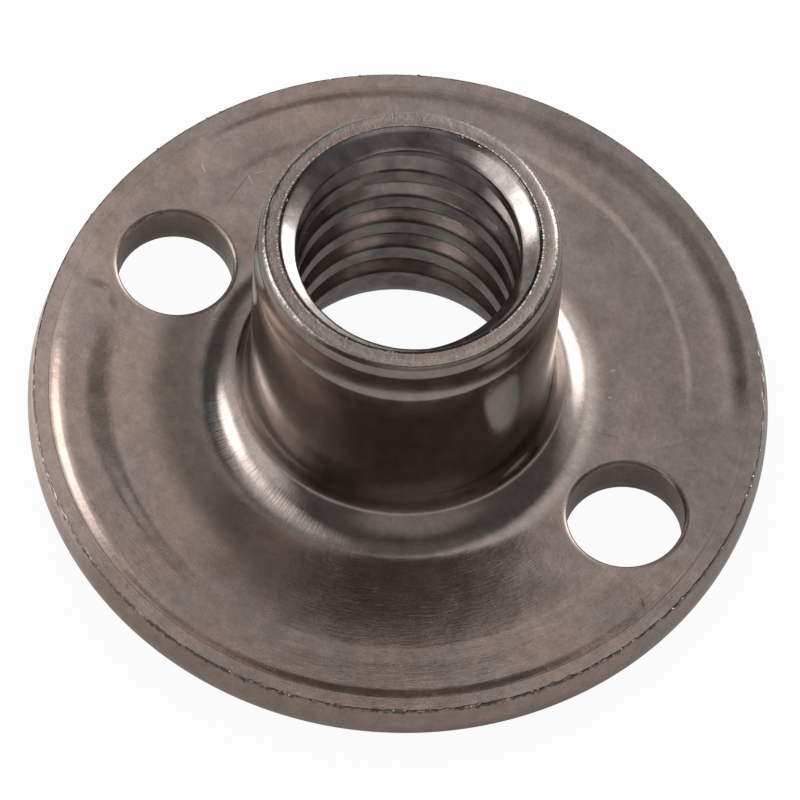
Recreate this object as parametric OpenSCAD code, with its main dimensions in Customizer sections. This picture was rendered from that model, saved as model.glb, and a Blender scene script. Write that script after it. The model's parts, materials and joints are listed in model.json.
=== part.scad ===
// Screw-on tee nut, drawn from one disc of sheet steel.
// The flange lies on z = 0, the barrel stands up along +Z, and the two screw holes lie on the X axis.

/* [Thread] */
// Major diameter of the internal thread
thread_d = 6.35; // [5:0.01:9]
// Pitch of the internal thread
thread_pitch = 1.27; // [0.8:0.01:1.5]
// Height of the tapped thread, as a percentage of a full thread
thread_engagement = 48; // [40:1:75]
// Radial step from the thread's crests out to the plain entry below it
entry_relief = 0.40; // [0.2:0.01:0.6]
// Height of the plain entry above the inner bend
entry_h = 1.10; // [0.5:0.05:1.5]

/* [Barrel] */
// Wall outside the thread's major diameter
barrel_wall = 0.695; // [0.5:0.005:1.1]
// Overall height from the underside to the mouth
overall_h = 8.80; // [7.3:0.05:12]
// Radius of the flare where the barrel leaves the flange
flare_r = 1.30; // [0.8:0.05:1.7]
// Radius of the bend at the bottom of the bore
bend_r = 1.15; // [0.6:0.05:1.4]
// Height of the necked end below the mouth
neck_h = 1.36; // [1:0.02:1.8]
// Length of the taper from the barrel down to the neck
neck_taper_h = 0.62; // [0.3:0.02:0.8]
// Radial step from the barrel in to the neck
neck_step = 0.07; // [0.03:0.01:0.12]
// Width of the flat ring round the mouth
mouth_ring_w = 0.42; // [0.25:0.01:0.5]
// Included angle of the countersink that leads into the thread
countersink_angle = 60; // [50:1:90]
// Height of the rounded bevel outside the mouth
mouth_bevel_h = 0.42; // [0.2:0.02:0.56]
// Width of the rounded bevel outside the mouth
mouth_bevel_w = 0.11; // [0.05:0.01:0.16]

/* [Flange] */
// Thickness of the sheet
sheet_t = 1.25; // [1:0.05:1.5]
// Width of the flange, from the barrel's wall out to the rim
flange_w = 5.63; // [4.7:0.01:7]
// Rise of the rim above the flat middle, because the flange is slightly dished
dish_rise = 0.15; // [0.05:0.01:0.4]
// Roll-over radius at the lower edge of the rim
edge_roll_r = 0.42; // [0.2:0.01:0.5]
// Height of the smooth upright land that the shear leaves above the roll-over
edge_land_h = 0.20; // [0.05:0.01:0.3]
// How far the broken part of the edge leans in from that land to the top
edge_lean = 0.135; // [0.05:0.005:0.25]

/* [Coined relief] */
// Width of the flat band left round the rim
rim_band_w = 0.38; // [0.25:0.01:0.6]
// Width of the coined channels inside that band
channel_w = 1.555; // [1:0.005:2]
// Depth of the coined channels
channel_depth = 0.10; // [0.05:0.01:0.15]
// Width of the slope on either side of each channel
channel_slope_w = 0.14; // [0.08:0.01:0.3]
// Angle at which the channel on the +Y side begins
back_channel_start = 28; // [24:1:60]
// Angle at which the channel on the +Y side ends
back_channel_end = 160; // [120:1:160]
// Angle at which the channel on the -Y side begins
front_channel_start = 193; // [193:1:240]
// Angle at which the channel on the -Y side ends
front_channel_end = 347; // [300:1:347]

/* [Screw holes] */
// Diameter of the two screw holes
hole_d = 3.00; // [2.4:0.05:3.6]
// Flat left between the foot of the flare and each hole
hole_gap = 0.115; // [0.05:0.005:0.5]
// Width of the rolled lip round the top of each hole
hole_lip_w = 0.13; // [0.12:0.01:0.25]
// Depth of the rolled lip round the top of each hole
hole_lip_h = 0.06; // [0.04:0.01:0.1]

/* [Hidden] */
$fn = 96;

// Overlap that keeps faces from coinciding in cuts
eps = 0.01;
// Height that clears every cut above the flange
clear_h = 2 * overall_h;
// Radius of an arc that leaves a face tangentially and falls away by drop over run
function fall_r(run, drop) = (run * run + drop * drop) / (2 * drop);

// Bore: the crests of a tapped hole lie at its drill's radius. A full thread takes 3/4 of the depth
// of a sharp 60 degree one, which is sqrt(3) pitches on the diameter
full_thread = 3 / 4 * sqrt(3) * thread_pitch;
thread_minor_r = (thread_d - full_thread * thread_engagement / 100) / 2;
throat_r = thread_minor_r + entry_relief;
entry_top_z = bend_r + entry_h;

// Barrel
barrel_r = thread_d / 2 + barrel_wall;
neck_r = barrel_r - neck_step;
mouth_outer_r = neck_r - mouth_bevel_w;
mouth_inner_r = mouth_outer_r - mouth_ring_w;
countersink_h = (mouth_inner_r - thread_minor_r) / tan(countersink_angle / 2);

// Flange: flat as far as the foot of the flare, then a shallow cone up to the rim
flange_r = barrel_r + flange_w;
foot_r = barrel_r + flare_r;
dish_slope = dish_rise / (flange_r - foot_r);
rim_top_r = flange_r - edge_lean;
rim_band_r = rim_top_r - rim_band_w;
function under_z(r) = dish_slope * max(0, r - foot_r);
function top_z(r) = sheet_t + under_z(r);

// Edge: the roll-over's arc turns from the underside into the upright land
roll_x = flange_r - edge_roll_r;
roll_z = under_z(roll_x) + edge_roll_r;

// Channels, with the tilt that lays their section along the dished top
channel_mid_r = rim_band_r - channel_w / 2;
dish_angle = atan(dish_slope);

// Screw holes, with the lip's arc raised so that it ends clear of the cone at the hole's sides
hole_r = hole_d / 2;
hole_x = foot_r + hole_gap + hole_r;
hole_lip_r = hole_r + hole_lip_w;
hole_lip_lift = top_z(norm([hole_x, hole_lip_r])) - top_z(hole_x) + eps;

// Half section of the flange with its rolled and sheared edge
module flange_section() {
    polygon([
        [throat_r, 0],
        [foot_r, 0],
        [roll_x, roll_z - edge_roll_r],
        [flange_r, roll_z],
        [flange_r, roll_z + edge_land_h],
        [rim_top_r, top_z(rim_top_r)],
        [foot_r, sheet_t],
        [throat_r, sheet_t],
    ]);
    translate([roll_x, roll_z]) circle(edge_roll_r);
}

// Half section of the barrel, solid as far in as the thread's crests
module barrel_section() {
    difference() {
        polygon([
            [thread_minor_r, entry_top_z],
            [throat_r, entry_top_z - entry_relief],
            [throat_r, 0],
            [barrel_r, 0],
            [barrel_r, overall_h - neck_h],
            [neck_r, overall_h - neck_h + neck_taper_h],
            [neck_r, overall_h],
            [mouth_inner_r, overall_h],
            [thread_minor_r, overall_h - countersink_h],
        ]);
        mouth_bevel_section();
    }
}

// What the rounded bevel takes off the outer corner of the mouth
module mouth_bevel_section() {
    bevel_r = fall_r(mouth_bevel_h, mouth_bevel_w);
    translate([neck_r, overall_h - mouth_bevel_h]) difference() {
        translate([-mouth_bevel_w, 0]) square([mouth_bevel_w + eps, mouth_bevel_h + eps]);
        translate([-bevel_r, 0]) circle(bevel_r);
    }
}

// Half section of the fillet between the barrel and the top of the flange
module flare_section() {
    difference() {
        translate([barrel_r - eps, sheet_t - eps])
            square([flare_r + eps, flare_r + eps]);
        translate([foot_r, sheet_t + flare_r]) circle(flare_r);
    }
}

// What the inner bend leaves open below the throat
module bend_cut_section() {
    difference() {
        translate([throat_r - eps, -eps]) square([bend_r + eps, bend_r + eps]);
        translate([throat_r + bend_r, bend_r]) circle(bend_r);
    }
}

// The drawn blank: flange, flare, barrel and bore in one revolve
module drawn_blank() {
    rotate_extrude() difference() {
        union() {
            flange_section();
            barrel_section();
            flare_section();
        }
        bend_cut_section();
    }
}

// Coining tool for one channel: an arc whose slopes carry on past the top of the flange
module channel_tool(start, end) {
    half_w = channel_w / 2;
    rotate([0, 0, start]) rotate_extrude(angle = end - start)
        translate([channel_mid_r, top_z(channel_mid_r)]) rotate(dish_angle) polygon([
            [channel_slope_w - half_w, -channel_depth],
            [half_w - channel_slope_w, -channel_depth],
            [half_w + channel_slope_w, channel_depth],
            [-half_w - channel_slope_w, channel_depth],
        ]);
}

// Punch for one screw hole, with the lip that its entry side rolls over
module hole_punch() {
    arc_r = fall_r(hole_lip_w, hole_lip_h);
    translate([hole_x, 0, -eps]) cylinder(h = clear_h, r = hole_r);
    translate([hole_x, 0, top_z(hole_x) + hole_lip_lift]) rotate([0, -dish_angle, 0])
        rotate_extrude() difference() {
            translate([0, -arc_r]) square([hole_lip_r, clear_h]);
            translate([hole_lip_r, -arc_r]) circle(arc_r);
        }
}

module tee_nut() {
    color([0.46, 0.41, 0.38]) difference() {
        drawn_blank();
        channel_tool(back_channel_start, back_channel_end);
        channel_tool(front_channel_start, front_channel_end);
        for (side = [0, 1]) mirror([side, 0, 0]) hole_punch();
    }
}

tee_nut();
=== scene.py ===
"""Looks of a screw-on tee nut: its drawn blank, cut thread, the burrs along two edges, and a stage."""

import json
import math

import bpy
from mathutils import Color, Matrix, Vector, noise


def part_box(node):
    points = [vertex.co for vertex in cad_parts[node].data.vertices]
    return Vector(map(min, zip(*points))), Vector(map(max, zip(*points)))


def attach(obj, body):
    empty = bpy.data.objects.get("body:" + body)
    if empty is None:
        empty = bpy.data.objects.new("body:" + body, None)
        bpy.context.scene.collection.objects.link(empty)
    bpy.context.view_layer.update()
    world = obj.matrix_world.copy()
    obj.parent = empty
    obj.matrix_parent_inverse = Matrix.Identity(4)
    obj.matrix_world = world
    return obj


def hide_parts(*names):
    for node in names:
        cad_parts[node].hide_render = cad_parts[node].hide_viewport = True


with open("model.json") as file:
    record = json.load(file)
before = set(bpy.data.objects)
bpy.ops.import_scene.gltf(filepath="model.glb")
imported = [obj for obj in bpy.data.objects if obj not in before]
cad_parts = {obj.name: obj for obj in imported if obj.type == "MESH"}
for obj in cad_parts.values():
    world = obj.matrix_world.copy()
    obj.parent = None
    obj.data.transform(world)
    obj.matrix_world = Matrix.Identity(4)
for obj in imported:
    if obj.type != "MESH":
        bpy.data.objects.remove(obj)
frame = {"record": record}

bl_info = {
    "name": "Screw-on tee nut",
    "version": (1, 0, 0),
    "blender": (4, 5, 0),
    "location": "View3D > Sidebar > Tee nut",
    "description": "Builds a drawn steel tee nut with its thread, burr and stage",
    "category": "Object",
}

MM = 0.001
NODE = "tee_nut"
MOUNTS = {mount["name"]: mount for mount in frame["record"]["mounts"]}
BOX_LOW, BOX_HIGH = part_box(NODE)
FLANGE_R = min(-BOX_LOW[0], -BOX_LOW[1], BOX_HIGH[0], BOX_HIGH[1])
OVERALL_H = BOX_HIGH[2]
HOLE_X = MOUNTS["screw_holes"]["dims"]["spacing_x_mm"] / 2 * MM
HOLE_R = MOUNTS["screw_holes"]["dims"]["hole_r_mm"] * MM
CREST_R = MOUNTS["thread"]["dims"]["r_mm"] * MM
BARREL_R = MOUNTS["barrel"]["dims"]["r_mm"] * MM


def length(name, description, size):
    """A size, given in mm and kept in metres."""
    return bpy.props.FloatProperty(
        name=name, description=description, default=size * MM, min=0.0, precision=5,
        subtype="DISTANCE", unit="LENGTH",
    )


def angle(name, description, degrees):
    """An angle, given in degrees and kept in radians."""
    return bpy.props.FloatProperty(
        name=name, description=description, default=math.radians(degrees), subtype="ANGLE",
        unit="ROTATION",
    )


def amount(name, description, default):
    """A whole number."""
    return bpy.props.IntProperty(name=name, description=description, default=default, min=0)


def colour(name, description, default):
    """A linear colour."""
    return bpy.props.FloatVectorProperty(
        name=name, description=description, default=default, size=3, min=0.0, max=1.0, subtype="COLOR"
    )


def share(name, description, default):
    """A share from 0 to 1."""
    return bpy.props.FloatProperty(
        name=name, description=description, default=default, min=0.0, max=1.0, subtype="FACTOR"
    )


class BlankSizes(bpy.types.PropertyGroup):
    """Sizes of the drawn and coined blank."""

    sheet_t: length("Sheet", "Thickness of the sheet", 1.25)
    dish_rise: length("Dish", "Rise of the rim above the flat middle", 0.15)
    flare_r: length("Flare radius", "Radius where the barrel leaves the flange", 1.30)
    bend_r: length("Bend radius", "Radius of the bend at the bottom of the bore", 1.15)
    throat_r: length("Throat radius", "Radius of the plain entry below the thread", 3.179)
    entry_h: length("Entry", "Height of the plain entry above the bend", 1.10)
    neck_h: length("Neck", "Height of the necked end", 1.36)
    neck_flat_h: length("Neck flat", "Height of the upright part of the neck under the bevel", 0.18)
    neck_step: length("Neck step", "Radial step from the barrel in to the neck", 0.07)
    mouth_ring_w: length("Mouth ring", "Width of the flat ring round the mouth", 0.42)
    ring_stray: length("Ring wear", "How far the ring's outer edge is worn back where it is most", 0.10)
    sink_angle: angle("Countersink", "Included angle of the countersink", 120)
    lip_angle: angle("Mouth lip", "Included angle of the steep lip above the countersink", 60)
    lip_w: length("Mouth lip width", "Radial width of the steep lip", 0.05)
    mouth_bevel_h: length("Mouth bevel height", "Height of the bevel outside the mouth", 0.42)
    mouth_bevel_w: length("Mouth bevel width", "Width of the bevel outside the mouth", 0.11)
    turned_line: length("Turned line", "Depth of the fine line turned round the bevel", 0.008)
    edge_roll_r: length("Edge roll", "Roll-over radius at the foot of the rim", 0.42)
    edge_land_h: length("Edge land", "Height of the sheared land above the roll", 0.20)
    edge_lean: length("Edge lean", "How far the broken edge leans in", 0.135)
    nick_d: length("Nicks", "Depth of the nicks along sheared corners", 0.048)
    rim_band_w: length("Rim band", "Width of the flat band round the rim", 0.38)
    channel_in_r: length("Channel inside", "Radius of the channels' inner edge", 7.43)
    channel_depth: length("Channel depth", "Depth of the coined channels along their outer side", 0.10)
    channel_slope_w: length("Channel slope", "Width of the channels' outer slopes", 0.29)
    channel_soft_w: length("Soft slope", "Width of the channels' inner slopes", 0.72)
    channel_lead_w: length("Channel lead-in", "Width of the outer slope where it is widest", 0.60)
    channel_wander: length("Channel wander", "How far the inner edge strays to either side", 0.11)
    hole_lip_w: length("Hole lip width", "Width of the rolled lip round each hole", 0.13)
    hole_lip_h: length("Hole lip depth", "Depth of the rolled lip round each hole", 0.06)


class ThreadSizes(bpy.types.PropertyGroup):
    """Sizes of the cut thread."""

    pitch: length("Pitch", "Pitch of the right-hand thread", 1.27)
    root_r: length("Root radius", "Radius at the bottom of the groove", 3.08)
    root_w: length("Root width", "Width of the flat at the bottom of the groove", 0.10)
    flank_w: length("Flank width", "Axial width of each rounded flank", 0.31)
    blend_r: length("Blend", "How softly the countersink runs into the thread", 0.12)
    groove_z: length("Groove height", "Height of the groove's middle on the +X side", 1.058)
    run_out: length("Run-out", "Height over which the groove fades below", 0.40)


class BurrSizes(bpy.types.PropertyGroup):
    """Sizes of the burrs that shearing and facing leave along two edges."""

    rim_count: amount("Rim burrs", "Burrs along the rim", 190)
    mouth_count: amount("Mouth burrs", "Burrs inside the mouth", 90)
    burr_l: length("Burr length", "Length of the longest burr along its edge", 0.110)
    burr_w: length("Burr width", "Width of the widest burr across its edge", 0.042)
    burr_h: length("Burr height", "Height of the tallest burr", 0.022)
    seed: amount("Seed", "Which burrs fall where", 7)


class FinishLooks(bpy.types.PropertyGroup):
    """Colours and gloss of the bare steel."""

    steel: colour("Steel", "Colour of the plain metal", (0.300, 0.229, 0.196))
    violet: colour("Cool steel", "Colour of the cooler patches of the flange", (0.275, 0.226, 0.212))
    polished: colour("Polished steel", "Colour of the barrel", (0.322, 0.270, 0.246))
    # the bore's own cut tone, made lighter as painted light
    bored_and_lit: colour("Bored steel", "Colour of the bore", (0.350, 0.306, 0.290))
    stained: colour("Stained steel", "Colour where dirt or oxide keeps", (0.060, 0.046, 0.040))
    bright: colour("Bright steel", "Colour of fresh scratches", (0.62, 0.56, 0.52))
    # painted glints: the near-white colour laid on the mouth ring's edges
    painted_glint: colour("Glints", "Colour of freshly bruised corners", (0.95, 0.92, 0.90))
    film: share("Film", "Share of the flange that a thin dull film hides", 0.11)
    satin: share("Satin roughness", "Roughness of the tumbled flange", 0.25)
    drawn: share("Drawn roughness", "Roughness where the die polished the metal", 0.14)


class StageLooks(bpy.types.PropertyGroup):
    """Camera, floor and even light."""

    camera_distance: length("Camera distance", "From the aim to the camera", 221.17)
    camera_azimuth: angle("Camera azimuth", "Turn from the -Y side", 28.06)
    camera_elevation: angle("Camera elevation", "Height over the horizon", 60.48)
    camera_roll: angle("Camera roll", "Tilt of the frame", 4.33)
    lens: bpy.props.FloatProperty(name="Lens", description="Focal length in mm", default=387.76, min=1.0)
    floor_show: share("Floor brightness", "How much of the seen floor is white without any light", 0.95)
    floor_glow: share("Floor glow", "How much of the floor is so in the steel's reflections", 0.16)
    even_light: share("Even light", "Radiance of the studio between its panels", 0.14)


# ---------------------------------------------------------------- mesh of the blank


class Skin:
    """Points and faces of one closed skin. Rings are joined in the order of a walk round the half
    section: up the bore, over the mouth, down the barrel, out along the flange and back below it."""

    def __init__(self):
        self.points = []
        self.faces = []
        self.bore = set()

    def point(self, x, y, z):
        self.points.append((x, y, z))
        return len(self.points) - 1

    def ring(self, columns, radius, height):
        """A full circle of points. radius is a number, or a function of the angle, and height is a
        number, or a function of x and y."""
        made = []
        for column in range(columns):
            angle = math.tau * column / columns
            reach = radius(angle) if callable(radius) else radius
            x, y = reach * math.cos(angle), reach * math.sin(angle)
            made.append(self.point(x, y, height(x, y) if callable(height) else height))
        return made

    def join(self, first, second, cut=False):
        """Faces between two rings, of which one may have twice as many points as the other. A cut
        quad is split along the diagonal that climbs as a right-hand thread does."""
        count = min(len(first), len(second))
        for i in range(count):
            j = (i + 1) % count
            if len(first) == len(second):
                if cut:
                    self.faces += [(first[j], first[i], second[j]), (second[j], first[i], second[i])]
                else:
                    self.faces.append((first[j], first[i], second[i], second[j]))
            elif len(first) < len(second):
                a, b, c = second[2 * i], second[2 * i + 1], second[(2 * i + 2) % len(second)]
                self.faces += [(first[j], first[i], b), (b, first[i], a), (c, first[j], b)]
            else:
                a, b, c = first[2 * i], first[2 * i + 1], first[(2 * i + 2) % len(first)]
                self.faces += [(b, a, second[i]), (c, b, second[j]), (b, second[i], second[j])]

    def chain(self, rings):
        """Joins each ring to the next."""
        for first, second in zip(rings, rings[1:]):
            self.join(first, second)


def steps(start, end, count):
    """count values after start, evenly spaced, ending at end."""
    return [start + (end - start) * (i + 1) / count for i in range(count)]


def arc(centre, radius, start, end, count):
    """Points after the start of an arc in the half section, angles in degrees."""
    return [
        (centre[0] + radius * math.cos(math.radians(a)), centre[1] + radius * math.sin(math.radians(a)))
        for a in steps(start, end, count)
    ]


def fall_r(run, drop):
    """Radius of an arc that leaves a face tangentially and falls away by drop over run."""
    return (run * run + drop * drop) / (2 * drop)


def ease(share):
    """0 below 0, 1 above 1, eased between."""
    share = min(1.0, max(0.0, share))
    return share * share * (3 - 2 * share)


def between(value, low, high):
    """0 at low, 1 at high, eased between; low may lie above high."""
    return ease((value - low) / (high - low))


def round_place(turn, seed):
    """A place on a circle, for noise that is the same on each run."""
    return Vector((math.cos(turn), math.sin(turn), seed))


# nicks along the rim: the side where they are heavy, how wide it is, and their share elsewhere
NICKED_SIDE, NICKED_SPREAD, FEWEST_NICKS = math.radians(-30), 0.35, 0.08
# their noise: seed, scale, how much finer its second wave is, the strength of both, and what is added
NICK_SEED, NICK_SCALE, NICK_FINER, NICK_WAVE, FINER_WAVE, NICK_BIAS = 5.0, 30.0, 2.9, 0.7, 0.8, 0.32
# wear of the ring outside the mouth: the side where it and the one opposite are worn, and how much
WORN_SIDE, WORN_SHARE, WORN_SWING = math.radians(45), 0.38, 0.42
WORN_SEED, WORN_WAVES = 3.0, ((2.1, 0.6), (9.0, 0.30))


def chip(turn):
    """Share of a nick's depth at an angle round the rim, from 0 to 1."""
    place = round_place(turn, NICK_SEED) * NICK_SCALE
    rough = NICK_WAVE * noise.noise(place) + FINER_WAVE * noise.noise(place * NICK_FINER)
    heavy = FEWEST_NICKS + (1 - FEWEST_NICKS) * ease(NICKED_SPREAD + math.cos(turn - NICKED_SIDE))
    return heavy * ease(NICK_BIAS + rough) ** 2


def worn(turn):
    """Share from 0 to 1 by which the ring outside the mouth is worn back at an angle."""
    place = round_place(turn, WORN_SEED)
    rough = sum(strength * noise.noise(place * scale) for scale, strength in WORN_WAVES)
    return ease(WORN_SHARE + WORN_SWING * math.cos(2 * (turn - WORN_SIDE)) + rough)


# where the channels start and end, and over how many degrees they fade out
BACK_CHANNEL, FRONT_CHANNEL, CHANNEL_FADE = (22, 164), (191, 350), 15
# share of the channels' depth along their inner side
BACK_INNER_SHARE, FRONT_INNER_SHARE = 0.65, 0.75
# wander of their inner edge: where it is farthest in, in degrees, and its noise
WANDER_TURN, WANDER_NOISE, WANDER_SCALE = 20, 0.4, 5.0
# degrees over which the back channel grows crisp, its outer slope wide, and its floor deep
CRISP_TURN, LEAD_TURN, DEEP_TURN = (92, 60), (150, 75), (105, 60)
# width of its soft side, its floor's tilt, least depth, and loss along its inner side
BACK_SOFT, BACK_CRISP_SOFT, BACK_TILT = 0.55, 0.30, 2.5
BACK_DEPTH, BACK_MORE_DEPTH, BACK_INNER_LOSS = 0.55, 0.45, 0.72
# degrees over which the front channel swells and shrinks again, and over which its floor levels out
SWELL_TURN, SHRINK_TURN, LEVEL_TURN = (195, 210), (255, 235), (220, 240)
# narrowing of its soft side, inner side, widening of its outer slope, least depth
FRONT_LEVEL_SOFT, FRONT_INNER, FRONT_MORE_INNER = 0.40, 0.78, 0.22
FRONT_WIDER, FRONT_DEPTH, FRONT_MORE_DEPTH = 0.35, 0.66, 0.59


class Blank:
    """Heights and radii of the blank, worked out from its sizes."""

    def __init__(self, sizes):
        s = self.sizes = sizes
        self.foot_r = BARREL_R + s.flare_r
        self.dish_slope = s.dish_rise / (FLANGE_R - self.foot_r)
        self.rim_top_r = FLANGE_R - s.edge_lean
        self.rim_band_r = self.rim_top_r - s.rim_band_w
        self.mouth_r = BARREL_R - s.neck_step - s.mouth_bevel_w - s.mouth_ring_w
        self.sink_slope = math.tan(s.sink_angle / 2)
        self.lip_slope = math.tan(s.lip_angle / 2)
        # the radius at the mouth that the countersink would reach without its lip
        self.sink_r = self.mouth_r - s.lip_w + s.lip_w / self.lip_slope * self.sink_slope
        self.lip_arc_r = fall_r(s.hole_lip_w, s.hole_lip_h)

    def under(self, x, y):
        """Height of the underside."""
        return self.dish_slope * max(0.0, math.hypot(x, y) - self.foot_r)

    def plate(self, radius):
        """Height of the plain top, with the foot of the flare."""
        s = self.sizes
        if radius < self.foot_r:
            return s.sheet_t + s.flare_r - math.sqrt(s.flare_r**2 - (self.foot_r - radius) ** 2)
        return s.sheet_t + self.dish_slope * (radius - self.foot_r)

    def channel(self, x, y):
        """Depth of the coined channels: deepest outside, with soft sides, and fading out at each end."""
        s = self.sizes
        radius, turn = math.hypot(x, y), math.degrees(math.atan2(y, x)) % 360
        back = turn < 180
        start, end = BACK_CHANNEL if back else FRONT_CHANNEL
        wobble = WANDER_NOISE * noise.noise(Vector((x, y, 0.0)) / radius * WANDER_SCALE)
        wander = math.cos(math.radians(2 * (turn - WANDER_TURN))) + wobble
        inside = s.channel_in_r - s.channel_wander * wander
        outward = between(radius, inside, self.rim_band_r)
        lead, inner, depth = s.channel_slope_w, s.channel_soft_w, s.channel_depth
        if back:
            crisp = between(turn, *CRISP_TURN)
            inner *= BACK_SOFT - BACK_CRISP_SOFT * crisp
            outward **= 1 + BACK_TILT * crisp
            lead += (s.channel_lead_w - lead) * between(turn, *LEAD_TURN)
            depth *= BACK_DEPTH + BACK_MORE_DEPTH * between(turn, *DEEP_TURN)
            shallow = BACK_INNER_SHARE * (1 - BACK_INNER_LOSS * crisp)
        else:
            swell = between(turn, *SWELL_TURN) * between(turn, *SHRINK_TURN)
            level = between(turn, *LEVEL_TURN)
            inner *= 1 - FRONT_LEVEL_SOFT * level
            lead *= 1 + FRONT_WIDER * swell
            depth *= FRONT_DEPTH + FRONT_MORE_DEPTH * swell
            shallow = FRONT_INNER_SHARE * (FRONT_INNER + FRONT_MORE_INNER * level)
        sides = ease((radius - inside) / inner) * ease((self.rim_band_r - radius) / lead)
        ends = ease((turn - start) / CHANNEL_FADE) * ease((end - turn) / CHANNEL_FADE)
        return depth * (shallow + (1 - shallow) * outward) * sides * ends

    def lip(self, x, y):
        """Fall of the rolled lip near a hole."""
        reach = HOLE_R + self.sizes.hole_lip_w - math.hypot(abs(x) - HOLE_X, y)
        if reach <= 0:
            return 0.0
        return self.lip_arc_r - math.sqrt(max(0.0, self.lip_arc_r**2 - reach**2))

    def top(self, x, y):
        """Height of the flange's top with its channels and lips."""
        return self.plate(math.hypot(x, y)) - self.channel(x, y) - self.lip(x, y)


# columns of points round the outside, round the underside and the bore's ends, and round the thread
OUTER_COLUMNS, INNER_COLUMNS, BORE_COLUMNS = 480, 240, 120
BORE_ROW = 0.033 * MM
# the patch of flange that is laid out round each hole
PATCH_HALF_ANGLE, PATCH_MARGIN = math.radians(18), 0.40 * MM
# rows of points along each part of the half section, and round each hole
ROWS = {
    "bend": 14, "entry": 5, "mouth corner": 4, "bevel": 9, "neck": 2, "taper": 9, "barrel": 5,
    "flare": 15, "flange": 16, "soft slope": 10, "channel": 12, "outside": 12, "rim band": 3,
    "rim edge": 7, "land": 2, "roll": 9, "foot": 4, "patch top": 8, "patch below": 2, "hole wall": 6,
}
# rounding where the bore meets the mouth: its height, and the share of it that it steps out
MOUTH_ROUND, MOUTH_ROUND_SHARE = 0.03 * MM, 0.3
# the ring outside the mouth: rows by their share of its width, radius of its corner and where that ends
RING_SHARES, RING_CORNER_R, CORNER_END = (0.75, 0.55), 0.06 * MM, 25
# degrees where the bevel starts, and its row with the turned line
BEVEL_START, LINE_ROW = 27, 4
# how far the ring's wear reaches into each row of its corner and of the bevel
CORNER_WEAR, BEVEL_WEAR = (0.85, 0.65, 0.45, 0.25), (0.2, 0.1)
# first rows over the rim's upper corner: step out and drop in mm, and share of the nicks' depth
RIM_CORNER_ROWS = ((-0.020, 0.002, 1.4), (0.004, 0.018, 1.0))
# the rows below them: where they start on the edge, and how the nicks grow shallower
RIM_EDGE_START, NICK_TOP, NICK_FALL = 0.06, 0.8, 3.0
# steps in from the rim band, the rim's corner and the roll, and out from the foot of a hole
BAND_STEP, RIM_STEP, ROLL_STEP, FOOT_STEP = 0.03 * MM, 0.10 * MM, 0.1 * MM, 0.05 * MM
# the lip round each hole: rows by their share of its width, and how far down the wall the last row is
LIP_SHARES, WALL_END = (1.3, 1.0, 0.85, 0.7, 0.55, 0.4, 0.26, 0.13, 0.04, 0.0), 0.94


def flange_rings(skin, radii, height, columns, upward):
    """Rings of the flange's top or underside from the inside out, open where the hole patches go."""
    half = round(PATCH_HALF_ANGLE / math.tau * columns)
    near = {(centre + k) % columns for centre in (0, columns // 2) for k in range(1 - half, half)}
    cells = {(centre + k) % columns for centre in (0, columns // 2) for k in range(-half, half)}
    rings = []
    for radius in radii:
        whole = radius in (radii[0], radii[-1])
        ring = []
        for column in range(columns):
            angle = math.tau * column / columns
            x, y = radius * math.cos(angle), radius * math.sin(angle)
            ring.append(skin.point(x, y, height(x, y)) if whole or column not in near else None)
        rings.append(ring)
    for low, high in zip(rings, rings[1:]):
        for i in range(columns):
            if i not in cells:
                j = (i + 1) % columns
                face = (low[j], low[i], high[i], high[j])
                skin.faces.append(face if upward else face[::-1])
    return rings, half


def patch_border(rings, half, side):
    """The loop of points round one hole patch, clockwise from above."""
    columns = len(rings[0])
    centre = side * columns // 2
    loop = [(rings[0], k) for k in range(-half, half)]
    loop += [(ring, half) for ring in rings[:-1]]
    loop += [(rings[-1], k) for k in range(half, -half, -1)]
    loop += [(ring, -half) for ring in reversed(rings[1:])]
    return [ring[(centre + k) % columns] for ring, k in loop]


def hole_rings(skin, border, centre_x, radii, height, between):
    """Rings from a patch's border in towards the hole: some between the border and the first of
    the round ones, then the round ones."""
    rings = [border]
    for share, radius in [(t, radii[0]) for t in steps(0, 1, between)] + [(1, r) for r in radii[1:]]:
        ring = []
        for index in border:
            x, y, _ = skin.points[index]
            away = math.hypot(x - centre_x, y)
            reach = away + (radius - away) * share
            px, py = centre_x + (x - centre_x) * reach / away, y * reach / away
            ring.append(skin.point(px, py, height(px, py)))
        rings.append(ring)
    return rings


def bore_rows(blank):
    """Rows of the plain bore, from the foot of its bend up to its mouth."""
    s = blank.sizes
    foot_r = s.throat_r + s.bend_r
    cone_low = s.bend_r + s.entry_h - (s.throat_r - CREST_R)
    mouth_r = blank.mouth_r
    rows = [(foot_r, 0.0)] + arc((foot_r, s.bend_r), s.bend_r, 270, 180, ROWS["bend"])
    rows += [(s.throat_r, z) for z in steps(s.bend_r, cone_low, ROWS["entry"])]
    for z in steps(cone_low, OVERALL_H - MOUTH_ROUND, round((OVERALL_H - cone_low) / BORE_ROW)):
        sunk = OVERALL_H - z
        mouth = min(mouth_r - sunk * blank.lip_slope, blank.sink_r - sunk * blank.sink_slope)
        rows.append((max(CREST_R, s.throat_r - (z - cone_low), mouth), z))
    return rows + [(mouth_r + MOUTH_ROUND_SHARE * MOUTH_ROUND, OVERALL_H)], cone_low


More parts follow.
